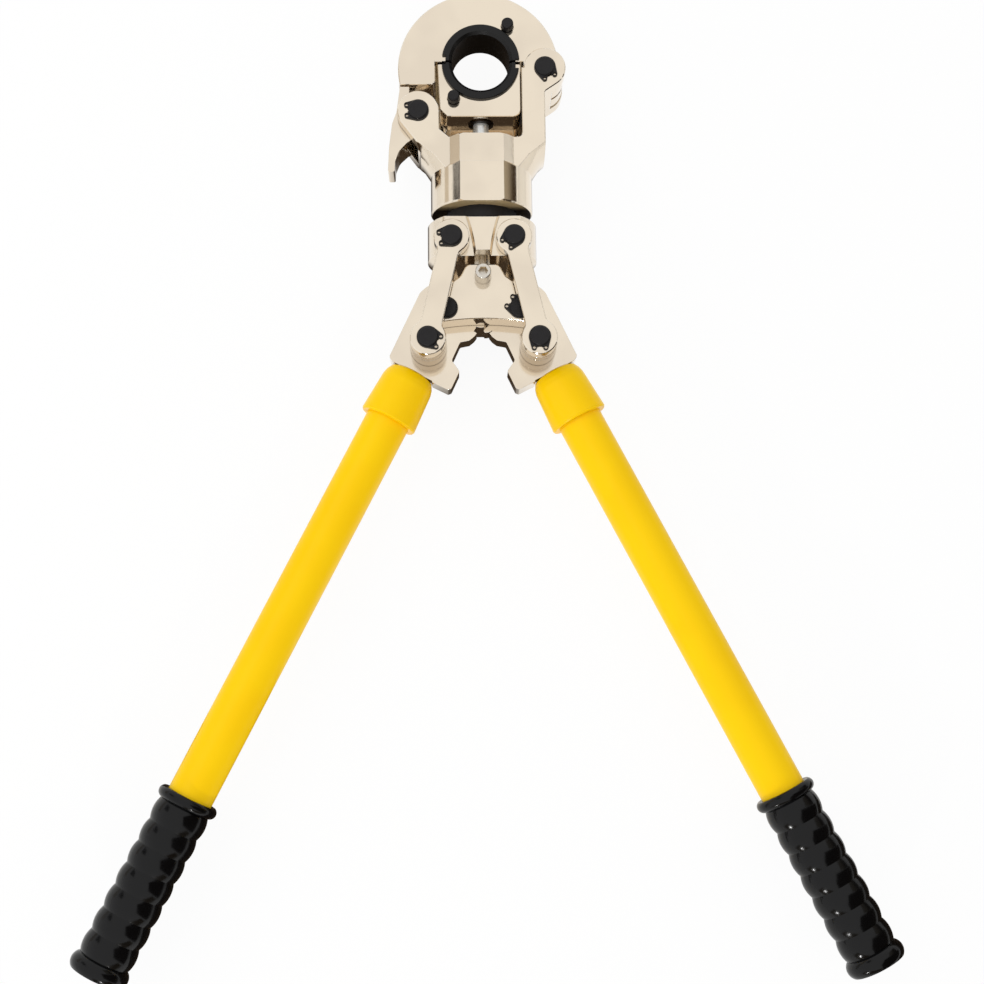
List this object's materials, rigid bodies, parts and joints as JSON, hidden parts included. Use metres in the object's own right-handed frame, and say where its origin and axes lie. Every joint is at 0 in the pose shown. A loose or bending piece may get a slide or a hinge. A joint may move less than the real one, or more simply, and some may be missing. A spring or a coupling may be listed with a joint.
{
  "type": "manual pipe crimping tool",
  "caption": "Two-handled pipe crimping tool: swinging C head over a sliding lower die, driven by a toothed toggle linkage, with a finger latch and ribbed grips.",
  "frame": {"origin": "centre of the closed die bore, at mid thickness", "axes": "+Z along the bore, out of the front face; +Y from the handles towards the head; +X to the right"},
  "size_m": [0.442, 0.5558, 0.0664],
  "materials": {
    "nickel_steel": "satin nickel plate",
    "black_oxide": "black oxide",
    "die_steel": "black oxide",
    "spring_steel": "drawn",
    "bright_steel": "ground and plated",
    "yellow_paint": "gloss enamel",
    "grip_rubber": "glossy moulded"
  },
  "bodies": {
    "link_block": {"link_block": "nickel_steel", "swivel_ring": "spring_steel", "anchor_pin_left": "black_oxide", "anchor_pin_right": "black_oxide", "anchor_circlips": "black_oxide"},
    "fork": {"fork_body": "nickel_steel", "head_pivot_pin": "black_oxide", "latch_pin": "black_oxide", "ear_circlips": "black_oxide"},
    "c_head": {"c_head": "nickel_steel", "upper_die": "die_steel"},
    "upper_button": {"upper_die_button": "black_oxide", "upper_button_spring": "spring_steel"},
    "latch": {"latch_lever": "nickel_steel"},
    "die_slide": {"die_holder": "nickel_steel", "lower_die": "die_steel", "rod_collar": "black_oxide"},
    "lower_button": {"lower_die_button": "black_oxide", "lower_button_spring": "spring_steel"},
    "ram": {"push_rod": "bright_steel", "push_block": "nickel_steel", "lock_screw": "bright_steel", "crank_pin_left": "black_oxide", "crank_pin_right": "black_oxide", "crank_circlips": "black_oxide"},
    "link_left": {"link_left_front": "nickel_steel", "link_left_back": "nickel_steel", "link_pin_left": "black_oxide", "link_spacers_left": "nickel_steel", "link_circlips_left": "black_oxide"},
    "handle_left": {"handle_plate_left": "nickel_steel", "ferrule_left": "yellow_paint", "tube_left": "yellow_paint", "grip_left": "grip_rubber"},
    "link_right": {"link_right_front": "nickel_steel", "link_right_back": "nickel_steel", "link_pin_right": "black_oxide", "link_spacers_right": "nickel_steel", "link_circlips_right": "black_oxide"},
    "handle_right": {"handle_plate_right": "nickel_steel", "ferrule_right": "yellow_paint", "tube_right": "yellow_paint", "grip_right": "grip_rubber"}
  },
  "joints": [
    {"name": "handle_left_swing", "type": "hinge", "parent": "ram", "child": "handle_left", "pos_m": [-0.0201, -0.1487, 0], "axis": [0, 0, -1], "range_deg": [-25, 26]},
    {"name": "handle_right_swing", "type": "hinge", "parent": "ram", "child": "handle_right", "pos_m": [0.0201, -0.1487, 0], "axis": [0, 0, 1], "range_deg": [-25, 26]},
    {"name": "ram_slide", "type": "slide", "parent": "link_block", "child": "ram", "axis": [0, -1, 0], "range_m": [-0.00122, 0.00127]},
    {"name": "link_left_swing", "type": "hinge", "parent": "link_block", "child": "link_left", "pos_m": [-0.0173, -0.1109, 0], "axis": [0, 0, -1], "range_deg": [-8.85, 9.2]},
    {"name": "link_right_swing", "type": "hinge", "parent": "link_block", "child": "link_right", "pos_m": [0.0173, -0.1109, 0], "axis": [0, 0, 1], "range_deg": [-8.85, 9.2]},
    {"name": "head_swivel", "type": "hinge", "parent": "link_block", "child": "fork", "pos_m": [0, -0.0889, 0], "axis": [0, 1, 0], "continuous": true},
    {"name": "die_slide_travel", "type": "slide", "parent": "fork", "child": "die_slide", "axis": [0, -1, 0], "range_m": [-0.00122, 0.00127]},
    {"name": "c_head_swing", "type": "hinge", "parent": "fork", "child": "c_head", "pos_m": [0.0364, -0.00745, 0], "axis": [0, 0, -1], "range_deg": [0, 100]},
    {"name": "latch_release", "type": "hinge", "parent": "fork", "child": "latch", "pos_m": [-0.0357, -0.0333, 0], "axis": [0, 0, 1], "range_deg": [0, 15], "stiffness_Nm_per_rad": 0.4, "springref_deg": -17.19},
    {"name": "upper_button_press", "type": "slide", "parent": "c_head", "child": "upper_button", "axis": [0, 0, -1], "range_m": [0, 0.0025], "stiffness_N_per_m": 400, "springref_m": -0.002, "deforming": ["upper_button_spring"]},
    {"name": "lower_button_press", "type": "slide", "parent": "die_slide", "child": "lower_button", "axis": [0, 0, -1], "range_m": [0, 0.0025], "stiffness_N_per_m": 400, "springref_m": -0.002, "deforming": ["lower_button_spring"]}
  ],
  "couplings": [
    {"joint": "handle_right_swing", "follows": "handle_left_swing", "ratio": 1},
    {"joint": "ram_slide", "follows": "handle_left_swing", "m_per_rad": 0.0027502},
    {"joint": "die_slide_travel", "follows": "handle_left_swing", "m_per_rad": 0.0027502},
    {"joint": "link_left_swing", "follows": "handle_left_swing", "ratio": 0.35},
    {"joint": "link_right_swing", "follows": "handle_left_swing", "ratio": 0.35}
  ]
}
